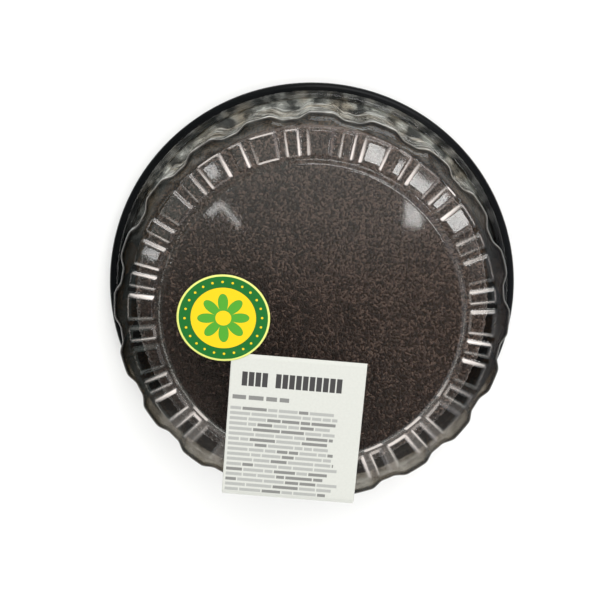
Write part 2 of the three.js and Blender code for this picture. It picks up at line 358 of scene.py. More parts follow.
def clear_plastic():
    """Thin clear sheet: see-through and shiny by its angle. It is whitish where the mesh's
    frost_and_painted_glints
    says: a little haze in the sheet, and mostly painted glints and painted reflections on the edges of pads
    and ribs and over the wall. Its shoulder and wall are smoky where seen edge-on."""
    s = new_material("clear_plastic")
    place = s.place()
    height = s.node("ShaderNodeSeparateXYZ", Vector=place).outputs[2]
    wall = down_the_lid(s, height, WALL_FADE, 0.0, 1.0)
    stretched = s.vector_math("MULTIPLY", place, STREAK_STRETCH)[0]
    bump = s.bump(s.noise(stretched, 150.0), s.math("MULTIPLY", wall, 0.35), 0.001)
    facing = s.node("ShaderNodeLayerWeight", Blend=0.5).outputs["Facing"]
    glancing = s.node("ShaderNodeLayerWeight", Blend=0.5, Normal=bump).outputs["Facing"]

    lower = down_the_lid(s, height, SMOKE_FADE, 0.0, SMOKE_LOSS)
    smoky = s.span(s.math("SUBTRACT", facing, lower), 0.06, 0.42, 0.0, 1.0)
    clear = s.mix_colour(s.math("MULTIPLY", smoky, wall), CLEAR, SMOKE)
    through = s.node("ShaderNodeBsdfTransparent", Color=clear)

    # the whitish layer is partly haze and mostly painted glints and painted reflections
    pale = s.ramp(s.noise(place, 55.0), *WALL_HAZE_AND_SHEEN)
    pale = s.mix_colour(down_the_lid(s, height, HAZE_FADE, 1.0, 0.0), pale, TOP_HAZE_AND_GLINT)
    haze_and_painted_glints = s.node("ShaderNodeBsdfDiffuse", Color=pale)
    frost_and_painted_glints = s.node("ShaderNodeAttribute", {"attribute_name": "frost_and_painted_glints"}).outputs["Fac"]
    share = s.math("MULTIPLY", frost_and_painted_glints, streaky_painted_glints(s, wall, facing, stretched))
    body = s.mix_shader(share, through, haze_and_painted_glints)

    gloss = s.node("ShaderNodeBsdfGlossy", Roughness=0.05, Normal=bump)
    least = down_the_lid(s, height, GLOSS_FADE, TOP_REFLECTANCE, WALL_REFLECTANCE)
    edge_on = s.math("POWER", glancing, 5.0)
    mirrored = s.math("MULTIPLY_ADD", edge_on, 1 - TOP_REFLECTANCE, least)
    return s.finish(s.mix_shader(mirrored, body, gloss))


def black_plastic():
    """Glossy black sheet, with crumbs of chocolate in its well."""
    black, charcoal = (0.0018, 0.0021, 0.0024), (0.0035, 0.0039, 0.0044)
    crumb = (0.170, 0.090, 0.045)
    s = new_material("black_plastic")
    place = s.place()
    cloud = s.noise(place, 25.0, 3.0)
    rough = s.node("ShaderNodeMapRange", Value=cloud, To_Min=0.16, To_Max=0.32).outputs[0]
    bump = s.bump(s.noise(place, 400.0), 0.08, 0.0005)
    colour = s.ramp(cloud, (0.3, black), (0.7, charcoal))
    radius = s.vector_math("LENGTH", s.vector_math("MULTIPLY", place, (1, 1, 0))[0])["Value"]
    in_well = s.span(radius, WELL_TOP_RADIUS - 2 * MM, WELL_TOP_RADIUS + 2 * MM, 1.0, 0.0)
    crumbs = s.span(s.noise(place, 700.0), 0.42, 0.58, 0.25, 1.0)
    colour = s.mix_colour(s.math("MULTIPLY", in_well, crumbs), colour, crumb)
    shader = s.node("ShaderNodeBsdfPrincipled", Base_Color=colour, Roughness=rough, Normal=bump)
    shader.inputs["Specular IOR Level"].default_value = 0.10
    return s.finish(shader)


def chocolate(name, dark, light, roughness):
    """Chocolate with a tone of its own for each separate sprinkle, and mottled within it."""
    s = new_material(name)
    place = s.place()
    island = s.node("ShaderNodeNewGeometry").outputs["Random Per Island"]
    mottle = s.noise(place, 900.0)
    tone = s.math("MULTIPLY_ADD", mottle, 0.35, s.math("MULTIPLY", island, 0.75))
    colour = s.ramp(tone, (0.1, dark), (0.95, light))
    bump = s.bump(s.noise(place, 2500.0), 0.3, 0.0002)
    return s.finish(s.node("ShaderNodeBsdfPrincipled", Base_Color=colour, Roughness=roughness, Normal=bump))


def paper(name, colour):
    """Matt label paper or ink on it, with fine fibres."""
    s = new_material(name)
    fibre = s.noise(s.place(), 700.0, 4.0)
    tone = s.ramp(fibre, (0.3, tuple(0.95 * c for c in colour)), (0.7, colour))
    bump = s.bump(fibre, 0.1, 0.0001)
    return s.finish(s.node("ShaderNodeBsdfPrincipled", Base_Color=tone, Roughness=0.7, Normal=bump))


def sticker_print(centre, half_width, half_height):
    """Printed film: a pale border, a dark green ring with dots, and a leafy rosette on yellow. Its
    lengths are shares of the sticker's radius."""
    yellow, green = linear(238, 192, 0), linear(6, 102, 32)
    leaf_green, pale = linear(74, 154, 38), linear(214, 218, 114)
    leaves, heart, leaf_foot, leaf_length = 8, 0.17, 0.2, 0.36
    ring_inner, ring_middle, ring_outer = 0.70, 0.83, 0.955
    dots, dot_radius = 24, 0.026
    s = new_material("sticker_print")
    parts = s.node("ShaderNodeSeparateXYZ", Vector=s.place())
    x = s.math("DIVIDE", s.math("SUBTRACT", parts.outputs[0], centre[0]), half_width)
    y = s.math("DIVIDE", s.math("SUBTRACT", parts.outputs[1], centre[1]), half_height)
    radius = s.math("SQRT", s.math("ADD", s.math("MULTIPLY", x, x), s.math("MULTIPLY", y, y)))
    angle = s.math("ARCTAN2", y, x)

    swell = s.math("ABSOLUTE", s.math("COSINE", s.math("MULTIPLY", angle, leaves / 2)))
    reach = s.math("MULTIPLY_ADD", s.math("POWER", swell, 0.7), leaf_length, leaf_foot)
    on_leaf = s.math("LESS_THAN", radius, reach)
    on_leaf = s.math("MULTIPLY", on_leaf, s.math("GREATER_THAN", radius, heart))
    colour = s.mix_colour(on_leaf, yellow, leaf_green)

    dot_turn = 2 * math.pi / dots
    turn = s.math("FRACT", s.math("MULTIPLY_ADD", angle, 1 / dot_turn, 0.5))
    along = s.math("MULTIPLY", s.math("SUBTRACT", turn, 0.5), dot_turn * ring_middle)
    across = s.math("SUBTRACT", radius, ring_middle)
    away = s.math("ADD", s.math("MULTIPLY", along, along), s.math("MULTIPLY", across, across))
    ring = s.mix_colour(s.math("LESS_THAN", away, dot_radius ** 2), green, yellow)
    colour = s.mix_colour(s.math("GREATER_THAN", radius, ring_inner), colour, ring)
    colour = s.mix_colour(s.math("GREATER_THAN", radius, ring_outer), colour, pale)
    return s.finish(s.node("ShaderNodeBsdfPrincipled", Base_Color=colour, Roughness=0.38))


def table_top():
    s = new_material("table_top")
    return s.finish(s.node("ShaderNodeBsdfPrincipled", Base_Color=(0.90, 0.90, 0.89), Roughness=0.9))


# ---------------------------------------------------------------- tray
def make_tray():
    """One profile turned round the axis, from the floor's middle out to the rim's lower edge."""
    rim_middle, rim_half = (RIM_INNER + RIM_RADIUS) / 2, (RIM_RADIUS - RIM_INNER) / 2
    turns = np.linspace(math.pi, 0, 14)
    rim = [(rim_middle + rim_half * math.cos(t), RIM_TOP - RIM_ROUND * (1 - math.sin(t)), 0)
           for t in turns]
    corners = [
        (0, FLOOR_TOP, 0),
        (FOOT_INNER - 2 * MM, FLOOR_TOP, 0.8 * MM),
        (FOOT_INNER, TRAY_SHEET, 0.8 * MM),
        (FOOT_OUTER - TRAY_SHEET, TRAY_SHEET, 1.5 * MM),
        (WELL_TOP_RADIUS, LEDGE_TOP, 1.5 * MM),
        (RIM_INNER, LEDGE_TOP, 0.2 * MM),
        *rim,
        (RIM_RADIUS, RIM_SKIRT, 0),
    ]
    radii, heights = rounded_path(corners, 5)
    tray = revolve("tray", radii, heights, np.linspace(0, 2 * math.pi, 240, endpoint=False))
    give_thickness(tray, TRAY_SHEET)
    tray.data.materials.append(black_plastic())
    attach(tray, "root")
    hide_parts("black_tray")


# ---------------------------------------------------------------- lid
def from_lobe(round_degrees):
    """Degrees to the middle of the nearest lobe: 0 on it, 180 / FLUTES in a valley."""
    period = 360 / FLUTES
    place = np.mod(round_degrees, period)
    return np.minimum(place, period - place)


def lobe(round_degrees):
    return 1 - smoothstep(from_lobe(round_degrees), LOBE_FLAT, LOBE_END)


def relief(round_degrees):
    """1 on a pad or a rib, 0 in the gaps between them."""
    away = from_lobe(round_degrees)
    to_rib = 180 / FLUTES - away
    on_pad = 1 - smoothstep(away, PAD_HALF, PAD_HALF + SIDE_SLOPE)
    on_rib = 1 - smoothstep(to_rib, RIB_HALF, RIB_HALF + SIDE_SLOPE)
    return np.maximum(on_pad, on_rib)


def lid_path(round_degrees):
    """Radii and heights of the lid's rings at these degrees round it, from its middle to its lip."""
    up, out = relief(round_degrees), lobe(round_degrees)
    gap = LID_TOP - MOAT_DEPTH
    shoulder = SHOULDER_RADIUS + LOBE_DEPTH_TOP * out
    foot = WALL_FOOT_RADIUS + LOBE_DEPTH_FOOT * out
    wall_top = gap - SHOULDER_DROP
    start = PAD_OUTER + PAD_END
    pad_in, pad_out = PAD_INNER + 0.6 * MM, PAD_OUTER - 0.2 * MM
    panel = [(PANEL_RADIUS * k / 6, LID_TOP, 0) for k in range(6)]
    pad = [(pad_in + (pad_out - pad_in) * k, gap + (MOAT_DEPTH - PAD_FALL * k) * up, 0)
           for k in (0.14, 0.5, 0.86)]
    rounding = [(start + (shoulder - start) * math.sin(t), gap - SHOULDER_DROP * (1 - math.cos(t)), 0)
                for t in np.linspace(0, math.pi / 2, 7)[1:]]
    wall = [(shoulder + (foot - shoulder) * k, wall_top + (FLANGE_TOP - wall_top) * k, 0)
            for k in np.linspace(0, 1, 10)[1:-1]]
    flange = [(foot + (FLANGE_RADIUS - foot) * k, FLANGE_TOP, 0) for k in np.linspace(0, 1, 11)[1:-1]]
    corners = [
        *panel,
        (PANEL_RADIUS - 2.6 * MM, LID_TOP, 0),
        (PANEL_RADIUS - 0.4 * MM, LID_TOP, 1.4 * MM),
        (PANEL_RADIUS + 1.7 * MM, gap, 1.0 * MM),
        (PAD_INNER - 0.4 * MM, gap, 0.5 * MM),
        (pad_in, gap + MOAT_DEPTH * up, 0.8 * MM),
        *pad,
        (pad_out, gap + (MOAT_DEPTH - PAD_FALL) * up, 0.7 * MM),
        (start, gap, 0.5 * MM),
        *rounding,
        *wall,
        (foot, FLANGE_TOP, 1.2 * MM),
        *flange,
        (FLANGE_RADIUS, FLANGE_TOP, 0.7 * MM),
        (FLANGE_RADIUS + 0.2 * MM, LIP_TOP, 0.7 * MM),
        (LIP_RADIUS, LIP_TOP - 0.6 * MM, 0),
    ]
    return rounded_path(corners)


# Zones of the lid with a whiteness of their own: the radii in mm where each begins, is full, begins to
# fade and is gone
GAP_ZONE = 89.5, 91, 107, 109
INNER_ENDS = 90.8, 91.8, 95, 96
OUTER_ENDS = 105, 106, 107.6, 108.2
PAD_ZONE = 91.8, 92.8, 107.4, 108.2
SHELF_ZONE = 107.8, 109.5, 112, 114
SHEER_ZONE = 107.8, 110, 123.6, 124.4
FLANGE_ZONE = 119, 120.5, 124.2, 124.6
PANEL_EDGE = 88.4 * MM, 89 * MM  # this zone and the lip's only have a soft beginning
PANEL_EDGE_END = 90.6 * MM
LIP_START = 123.8 * MM, 124.5 * MM
PAINTED_GLINT_END = 2                  # the end of the pads and ribs with a full painted glint, counted from the lobe at +Y
THREAD = 1.5 * MM                # from one painted glint thread in the flange to the next

# How whitish the sheet is, as haze and as painted glints and reflections: 0 is clear, and 1 is fully white
LEAST_FROST = 0.001
SIDE_PAINTED_GLINT = 0.95                # painted glints on the most whitened sides of pads and ribs
END_PAINTED_GLINT = 0.85                 # and painted glints on their ends
EDGE_PAINTED_GLINT = 0.5                 # painted highlight on the panel's edge beside the front ribs
# painted glints on the lip, and a painted highlight in the crease at the wall's foot
LIP_PAINTED_GLINT = 0.34
CREASE_PAINTED_HIGHLIGHT = 0.50


def zone(radii, edges):
    """1 inside a zone of the lid and 0 outside it, with soft edges."""
    begins, full, fades, gone = (edge * MM for edge in edges)
    return smoothstep(radii, begins, full) * (1 - smoothstep(radii, fades, gone))


def towards_front(angles):
    return smoothstep(-np.sin(angles), 0.35, 0.75)


def towards_back(angles):
    return smoothstep(np.sin(angles), 0.25, 0.70)


def top_haze_and_painted_glints(radii, heights, angles, round_degrees):
    """How whitish the lid's top is at each point, as a faint haze and as painted glints: on the steep sides
    and ends of pads and ribs, on some far more than on others, and as a little painted light in the gaps at
    the front."""
    along = np.gradient(heights, axis=1) / (radii * (angles[1] - angles[0]) + 1e-6)
    outward = np.gradient(heights, axis=0) / (np.abs(np.gradient(radii, axis=0)) + 1e-5)
    side = smoothstep(np.abs(along), 0.6, 1.6)
    end = smoothstep(np.abs(outward), 0.6, 1.8) * (1 - side)
    period = 360 / FLUTES
    which_side = (round_degrees / (period / 4)).astype(int)
    which_end = ((round_degrees / period * 2 + 0.5).astype(int)) % (2 * FLUTES)
    by_side = RANDOM.uniform(0, 1, 4 * FLUTES)[which_side] ** 1.5
    by_inner = RANDOM.uniform(0, 1, 2 * FLUTES)[which_end] ** 2
    by_outer = RANDOM.uniform(0, 1, 2 * FLUTES)[which_end] ** 2
    front, back = towards_front(angles), towards_back(angles)
    # painted glints: the inner ends brighter towards the front, the outer ends towards the back, and one
    # end fully
    by_inner = np.where(which_end == PAINTED_GLINT_END, 1.0, by_inner * (0.15 + 0.85 * front))
    by_outer = by_outer * (0.15 + 0.6 * back)
    pads = zone(radii, PAD_ZONE)
    on_rib = smoothstep(from_lobe(round_degrees), 5.0, 5.6)
    low = 1 - smoothstep(heights, LID_TOP - 2.4 * MM, LID_TOP - 1.4 * MM)
    on_sides = SIDE_PAINTED_GLINT * side * by_side * pads
    on_ends = END_PAINTED_GLINT * end * (by_inner * zone(radii, INNER_ENDS) + by_outer * zone(radii, OUTER_ENDS))
    on_edge = EDGE_PAINTED_GLINT * front * on_rib * smoothstep(radii, *PANEL_EDGE) * (radii < PANEL_EDGE_END)
    in_gaps = (0.002 + 0.045 * front) * low * zone(radii, GAP_ZONE)
    return LEAST_FROST + 0.010 * front * pads + on_sides + on_ends + on_edge + in_gaps


def wall_haze_and_painted_sheen(radii, heights, angles):
    """How whitish the lid is from its shoulder outwards, nearly all of it at the back: a painted sheen of
    reflected light in clouds over the wall, a painted highlight in the crease at its foot, and painted
    glints in bright threads in the flange and on the lip."""
    x, y = radii * np.cos(angles), radii * np.sin(angles)
    round_foot = np.broadcast_to(angles * FLANGE_RADIUS, heights.shape)
    front, back = towards_front(angles), towards_back(angles)
    clouds = 1 + 0.25 * waves(x, y, (0.05, 0.031, 0.023, 0.012), 8)
    broken = smoothstep(waves(round_foot, radii * 2, (0.040, 0.017, 0.009, 0.006), 12), -0.5, 0.5)
    wall = 1 - smoothstep(heights, LID_TOP - 9 * MM, LID_TOP - 3.5 * MM)
    foot = 1 - smoothstep(heights, FLANGE_TOP + 4 * MM, FLANGE_TOP + 40 * MM)
    flat = 1 - smoothstep(heights, FLANGE_TOP + 0.4 * MM, FLANGE_TOP + 1.2 * MM)
    threads = 0.5 + 0.5 * np.sin(2 * math.pi * radii / THREAD)
    creases = np.exp(-((heights - FLANGE_TOP - 1.0 * MM) / (0.8 * MM)) ** 2)
    # painted sheen of reflected light over the wall, mostly at the back
    painted_wall_sheen = LEAST_FROST + 0.03 * front + back * wall * (0.36 + 0.24 * foot)
    on_wall = zone(radii, SHEER_ZONE) * clouds * painted_wall_sheen
    on_shelf = back * zone(radii, SHELF_ZONE) * (0.005 + 0.035 * broken)
    on_flange = back * flat * zone(radii, FLANGE_ZONE) * (0.26 + 0.75 * threads * broken)
    on_lip = (LEAST_FROST + LIP_PAINTED_GLINT * back * broken) * smoothstep(radii, *LIP_START)
    return on_wall + on_shelf + on_flange + on_lip + CREASE_PAINTED_HIGHLIGHT * back * creases * broken


def make_lid():
    """The lid, whose panel sags and whose wall ripples by a fraction of a millimetre."""
    steps = POINTS_A_FLUTE * FLUTES
    round_degrees = np.arange(steps) * 360 / steps
    angles = np.radians(round_degrees) + math.pi / 2 + LID_TURN
    radii, heights = lid_path(round_degrees)
    # the whiteness is a little haze and mostly painted glints and painted reflections
    frost_and_painted_glints = top_haze_and_painted_glints(radii, heights, angles, round_degrees) + wall_haze_and_painted_sheen(radii, heights, angles)
    x, y = radii * np.cos(angles), radii * np.sin(angles)
    on_panel = 1 - smoothstep(radii, PANEL_RADIUS * 0.8, PANEL_RADIUS)
    on_wall = smoothstep(radii, *RIPPLE_OUTSIDE) * smoothstep(heights, *RIPPLE_ABOVE)
    on_wall = on_wall * (1 - smoothstep(heights, *RIPPLE_BELOW))
    round_wall = np.broadcast_to(angles * SHOULDER_RADIUS, heights.shape)
    ripple = waves(round_wall, heights * 0.3, (0.019, 0.012, 0.0095, 0.007, 0.006, 0.005), 4)
    heights = heights + PANEL_SAG * (waves(x, y, (0.09, 0.06, 0.045), 3) - 1) * on_panel
    radii = radii + WALL_RIPPLE * ripple * on_wall
    lid = revolve("lid", radii, heights, angles)
    values = np.concatenate([frost_and_painted_glints[0, :1], frost_and_painted_glints[1:].ravel()])
    lid.data.attributes.new("frost_and_painted_glints", "FLOAT", "POINT").data.foreach_set("value", values)
    give_thickness(lid, LID_SHEET)
    lid.data.materials.append(clear_plastic())
    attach(lid, "root")
    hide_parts("clear_lid")


# ---------------------------------------------------------------- cake and sprinkles
def cake_profile(distance):
    """The point at this distance along the cake's profile, from the top's middle over the edge and down
    the side, and the way that the surface faces there: (radius, height, outward, upward)."""
    flat = CORE_RADIUS - CORE_EDGE
    arc = CORE_EDGE * math.pi / 2
    turn = np.clip((distance - flat) / CORE_EDGE, 0, math.pi / 2)
    down = np.maximum(distance - flat - arc, 0)
    radius = np.minimum(distance, flat) + CORE_EDGE * np.sin(turn)
    height = CORE_TOP - CORE_EDGE * (1 - np.cos(turn)) - down
    return radius, height, np.sin(turn), np.cos(turn)


def profile_length():
    return CORE_RADIUS - CORE_EDGE + CORE_EDGE * math.pi / 2 + CORE_TOP - CORE_EDGE - CORE_FOOT


def unevenness(radius, angle, height):
    """How far the cake's surface rises or sinks at a place, in metres."""
    x, y = radius * np.cos(angle), radius * np.sin(angle)
    top = waves(x, y, (0.11, 0.07, 0.045, 0.03, 0.022), 5)
    side = waves(angle * CORE_RADIUS, height, (0.12, 0.06, 0.04, 0.03), 6)
    share = smoothstep(height, CORE_TOP - CORE_EDGE, CORE_TOP)
    return CORE_UNEVENNESS * (share * top + (1 - share) * side)


def make_core():
    """The bare cake, closed at its foot."""
    distances = np.concatenate([[0], np.linspace(4 * MM, profile_length() - 2 * MM, 60)])
    angles = np.linspace(0, 2 * math.pi, 200, endpoint=False)
    radius, height, outward, upward = (v[:, None] for v in cake_profile(distances))
    rise = unevenness(radius, angles[None, :], height + 0 * angles[None, :])
    rise[0] = rise[0].mean()
    radii, heights = radius + outward * rise, height + upward * rise
    foot_ring = np.full(radii[:1].shape, CORE_RADIUS - CORE_FOOT_IN)
    foot_height = np.full(radii[:1].shape, CORE_FOOT)
    radii = np.concatenate([radii, foot_ring, 0 * foot_ring])
    heights = np.concatenate([heights, foot_height, foot_height])
    core = revolve("cake_core", radii, heights, angles, closed_end=True)
    dark, light = (0.020, 0.010, 0.007), (0.045, 0.024, 0.016)
    core.data.materials.append(chocolate("cake_crumb", dark, light, 0.6))
    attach(core, "root")
    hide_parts("cake")


def pointed_grains(middles, along, lengths, radii):
    """Points and faces of many grains with flat sides and pointed ends, joined in one mesh."""
    helper = np.where(np.abs(along[:, 2:3]) < 0.9, [[0.0, 0.0, 1.0]], [[1.0, 0.0, 0.0]])
    side = np.cross(along, helper)
    side /= np.linalg.norm(side, axis=1, keepdims=True)
    other = np.cross(along, side)
    turns = np.arange(SPRINKLE_SIDES) * 2 * math.pi / SPRINKLE_SIDES
    half = lengths[:, None] / 2
    points = [middles - along * half]
    for end in (-1, 1):
        ring_middle = middles + end * along * (half - radii[:, None] * 0.6)
        for turn in turns:
            spoke = side * math.cos(turn) + other * math.sin(turn)
            points.append(ring_middle + spoke * radii[:, None])
    points.append(middles + along * half)
    points = np.stack(points, axis=1)
    k = np.arange(SPRINKLE_SIDES)
    following = (k + 1) % SPRINKLE_SIDES
    first, second, tip = 1 + k, 1 + SPRINKLE_SIDES + k, 1 + 2 * SPRINKLE_SIDES
    low = np.stack([0 * k, first[following], first], axis=1)
    high = np.stack([0 * k + tip, second, second[following]], axis=1)
    wall_a = np.stack([first, first[following], second[following]], axis=1)
    wall_b = np.stack([first, second[following], second], axis=1)
    grain = np.concatenate([low, high, wall_a, wall_b])
    starts = np.arange(len(middles))[:, None, None] * points.shape[1]
    return points.reshape(-1, 3), (grain[None] + starts).reshape(-1, 3).tolist()


def scatter_sprinkles():
    """Where the sprinkles lie: evenly over the top and side, at random turns, in three loose layers."""
    steps = np.linspace(0, profile_length() - BARE_FOOT, 4000)
    area = np.cumsum(cake_profile(steps)[0])
    order = (np.arange(SPRINKLES) + RANDOM.uniform(0, 1, SPRINKLES)) / SPRINKLES
    distance = np.interp(order * area[-1], area, steps)
    golden = math.pi * (3 - math.sqrt(5))
    angle = np.arange(SPRINKLES) * golden + RANDOM.normal(0, 0.02, SPRINKLES)
    radius, height, outward, upward = cake_profile(distance)
    layer = RANDOM.choice(LAYER_HEIGHTS, SPRINKLES, p=LAYER_SHARES) * MM
    lift = unevenness(radius, angle, height) + layer
    radius, height = radius + outward * lift, height + upward * lift
    middles = np.stack([radius * np.cos(angle), radius * np.sin(angle), height], axis=1)
    ring = np.stack([-np.sin(angle), np.cos(angle), 0 * angle], axis=1)
    slope = np.stack([-upward * np.cos(angle), -upward * np.sin(angle), outward], axis=1)
    normal = np.stack([outward * np.cos(angle), outward * np.sin(angle), upward], axis=1)
    turn = RANDOM.uniform(0, math.pi, SPRINKLES)[:, None]
    tilt = RANDOM.normal(0, SPRINKLE_TILT, SPRINKLES)[:, None]
    along = (ring * np.cos(turn) + slope * np.sin(turn)) * np.cos(tilt) + normal * np.sin(tilt)
    lengths = SPRINKLE_LENGTH * RANDOM.uniform(0.6, 1.3, SPRINKLES)
    radii = SPRINKLE_RADIUS * RANDOM.uniform(0.8, 1.15, SPRINKLES)
    on_top = height > CORE_TOP - CORE_EDGE
    return middles, along, lengths, radii, on_top


def make_sprinkles():
    """Dark and milk chocolate sprinkles, each kind in one mesh for the top and one for the side."""
    middles, along, lengths, radii, on_top = scatter_sprinkles()
    kinds = {
        "dark": chocolate("dark_sprinkles", (0.010, 0.006, 0.005), (0.056, 0.033, 0.026), 0.44),
        "milk": chocolate("milk_sprinkles", (0.036, 0.022, 0.018), (0.160, 0.102, 0.081), 0.48),
    }
    # the lighter kind lies thicker on top than on the side, and its share rises towards the back and the
    # right as painted light
    milk_share_with_painted_light = 0.46 + (0.48 * middles[:, 1] + 0.32 * middles[:, 0]) / CORE_RADIUS
    milk_share_with_painted_light = milk_share_with_painted_light - np.where(on_top, 0, 0.09)
    is_milk = RANDOM.uniform(0, 1, SPRINKLES) < milk_share_with_painted_light
    for kind, finish in kinds.items():
        for part, there in (("top", on_top), ("side", ~on_top)):
            chosen = there & (is_milk == (kind == "milk"))
            chosen_grains = middles[chosen], along[chosen], lengths[chosen], radii[chosen]
            grains = add_mesh(f"sprinkles_{kind}_{part}", *pointed_grains(*chosen_grains))
            grains.data.materials.append(finish)
            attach(grains, "root")
            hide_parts("cake")


# ---------------------------------------------------------------- label
PAPER, INK, GREY_INK, PALE_INK = range(4)
INK_COLOURS = {
    "label_paper": linear(198, 199, 192),
    "label_ink": linear(60, 58, 58),
    "label_grey_ink": linear(124, 124, 121),
    "label_pale_ink": linear(163, 164, 160),
}
TITLE_ROW, SUBTITLE_ROW, SMALL_ROW = 2.9 * MM, 2.6 * MM, 1.9 * MM
TOP_GAP, SUBTITLE_GAP, SMALL_GAP = 2.7 * MM, 2.3 * MM, 1.3 * MM
TITLE_WORDS = (9, 29), (34, 84)  # cells from the left edge
SMALL_LINES = 17
SMALL_ENDS = 72, 87              # the small lines end between these cells


def words(start, end, shortest, longest, gap, inks):
    """Cells from start to end, filled with word-like bars: a list of (cell, ink)."""
    cells = []
    at = start
    while at < end:
        length = int(RANDOM.integers(shortest, longest + 1))
        ink = int(RANDOM.choice(inks))
        cells += [(cell, ink) for cell in range(at, min(at + length, end))]
        at += length + gap
    return cells


def label_rows():
    """The label from its top edge down, as rows (height, [(cell, ink), ...])."""
    blank = []
    title = [cell for start, end in TITLE_WORDS for cell in words(start, end, 4, 4, 1, [INK])]
    rows = [(TOP_GAP, blank)] * 4
    rows += [(TITLE_ROW, title)] * 3
    rows += [(TITLE_ROW, blank)] * 2
    rows += [(SUBTITLE_ROW, words(3, 45, 7, 11, 2, [GREY_INK]))]
    rows += [(SUBTITLE_GAP, blank)] * 2
    for _ in range(SMALL_LINES):
        end = int(RANDOM.integers(*SMALL_ENDS))
        rows += [(SMALL_ROW, words(2, end, 6, 20, 1, [PALE_INK, PALE_INK, GREY_INK]))]
        rows += [(SMALL_GAP, blank)]
    return rows


def label_point(across, down):
    """A place on the label, from across (0 at the middle) and down from its top edge."""
    bend_length = LABEL_BEND * LABEL_BEND_ANGLE
    turn = np.clip((down - LABEL_FLAT) / LABEL_BEND, 0, LABEL_BEND_ANGLE)
    tail = np.maximum(down - LABEL_FLAT - bend_length, 0)
    run = np.minimum(down, LABEL_FLAT) + LABEL_BEND * np.sin(turn) + tail * math.cos(LABEL_BEND_ANGLE)
    drop = LABEL_BEND * (1 - np.cos(turn)) + tail * math.sin(LABEL_BEND_ANGLE)
    curl = LABEL_CURL * waves(across, down, (0.11, 0.07, 0.05), 9)
    height = LABEL_LOW_FACE + LABEL_SHEET - drop + curl * (1 - np.sin(turn))
    x = LABEL_PLACE[0] + across * math.cos(LABEL_TURN) + run * math.sin(LABEL_TURN)
    y = LABEL_PLACE[1] + across * math.sin(LABEL_TURN) - run * math.cos(LABEL_TURN)
    return x, y, height


def make_label():
    """A grid of faces, each of which has the paper's or an ink's material."""
    length = LABEL_FLAT + LABEL_BEND * LABEL_BEND_ANGLE + LABEL_TAIL
    rows = label_rows()
    edges = np.concatenate([[0], np.cumsum([height for height, _ in rows])])
    # rows past the lower edge are dropped, and blank ones fill what is left
    kept = edges[edges < length - 0.3 * MM]
    edges = np.append(kept, length)
    prints = [dict(cells) for _, cells in rows] + [{}] * len(edges)
    columns = round(LABEL_WIDTH / LABEL_CELL)
    across = (np.arange(columns + 1) / columns - 0.5) * LABEL_WIDTH
    x, y, z = label_point(across[None, :], edges[:, None])
    points = np.stack([x, y, z], axis=2).reshape(-1, 3)
    i, j = np.meshgrid(np.arange(len(edges) - 1), np.arange(columns), indexing="ij")
    corner = (i * (columns + 1) + j).ravel()
    faces = np.stack([corner, corner + columns + 1, corner + columns + 2, corner + 1], axis=1)
    label = add_mesh("label", points, faces.tolist())
    for name, colour in INK_COLOURS.items():
        label.data.materials.append(paper(name, colour))
    chosen = [prints[row].get(cell, PAPER) for row, cell in zip(i.ravel(), j.ravel())]
    label.data.polygons.foreach_set("material_index", chosen)
    give_thickness(label, LABEL_SHEET)
    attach(label, "root")
    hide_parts("paper_label")


# ---------------------------------------------------------------- sticker
def inside_label(x, y):
    """How far inside the label's top left corner a place lies, along the label's own two edges."""
    right, back = x - LABEL_PLACE[0], y - LABEL_PLACE[1]
    across = right * math.cos(LABEL_TURN) + back * math.sin(LABEL_TURN)
    down = right * math.sin(LABEL_TURN) - back * math.cos(LABEL_TURN)
    return np.minimum(across + LABEL_WIDTH / 2, down)


def make_sticker():
    """A thin printed oval that lies on the lid and laps over the label's corner."""
    centre = (STICKER_LOW + STICKER_HIGH) / 2
    half_width = (STICKER_HIGH.x - STICKER_LOW.x) / 2
    half_height = (STICKER_HIGH.y - STICKER_LOW.y) / 2
    shares = np.linspace(0, 1, 25)
    angles = np.linspace(0, 2 * math.pi, 160, endpoint=False)
    x = centre.x + shares[:, None] * half_width * np.cos(angles)
    y = centre.y + shares[:, None] * half_height * np.sin(angles)
    on_label = smoothstep(inside_label(x, y), *STICKER_SLOPE)
    height = STICKER_LOW_FACE + STICKER_SHEET + on_label * STICKER_LIFT
    rings = np.stack([x, y, height], axis=2)
    points = np.concatenate([rings[0, :1], rings[1:].reshape(-1, 3)])
    sticker = add_mesh("sticker", points, ring_faces(len(shares), len(angles)))
    sticker.data.materials.append(sticker_print(centre, half_width, half_height))
    give_thickness(sticker, STICKER_SHEET)
    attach(sticker, "root")
    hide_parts("round_sticker")


# ---------------------------------------------------------------- table, light and camera
CAMERA_DISTANCE = 0.620          # from the middle of the rim's plane
CAMERA_TILT = math.radians(11.5)  # off the vertical, towards +Y
PICTURE = 600                    # pixels along a side
FOCAL_PIXELS = 938
AIM_PIXEL = (311.9, 289.9)       # where the middle of the rim's plane shows
SENSOR = 36.0
LAMP_HEIGHT = 1.2                # of the mirrored lamps, above the lid
PAD_TILT = math.radians(3.9)     # how the pads fall outwards
KEY_PLACE = (0.35, 1.05, 1.00)
KEY_SIZE = (0.9, 0.7)
KEY_POWER = 7.2

# where the lid shows the lamps, from one end of each to the other, in pixels of the picture
STRIP_PIXELS = (362, 141), (474, 222)
RIGHT_PIXELS = (402, 214), (421, 216)
LEFT_PIXELS = (207, 218), (221, 204)
LEFT_LOW_PIXELS = (222, 205), (240, 227)
UPPER_LEFT_PIXELS = (203, 170), (213, 163)
FAR_LEFT_PIXELS = (142, 255), (153, 249)


def make_table():
    half = 3.0
    corners = [(-half, -half, 0), (half, -half, 0), (half, half, 0), (-half, half, 0)]
    table = add_mesh("table", corners, [(0, 1, 2, 3)])
    table.data.materials.append(table_top())


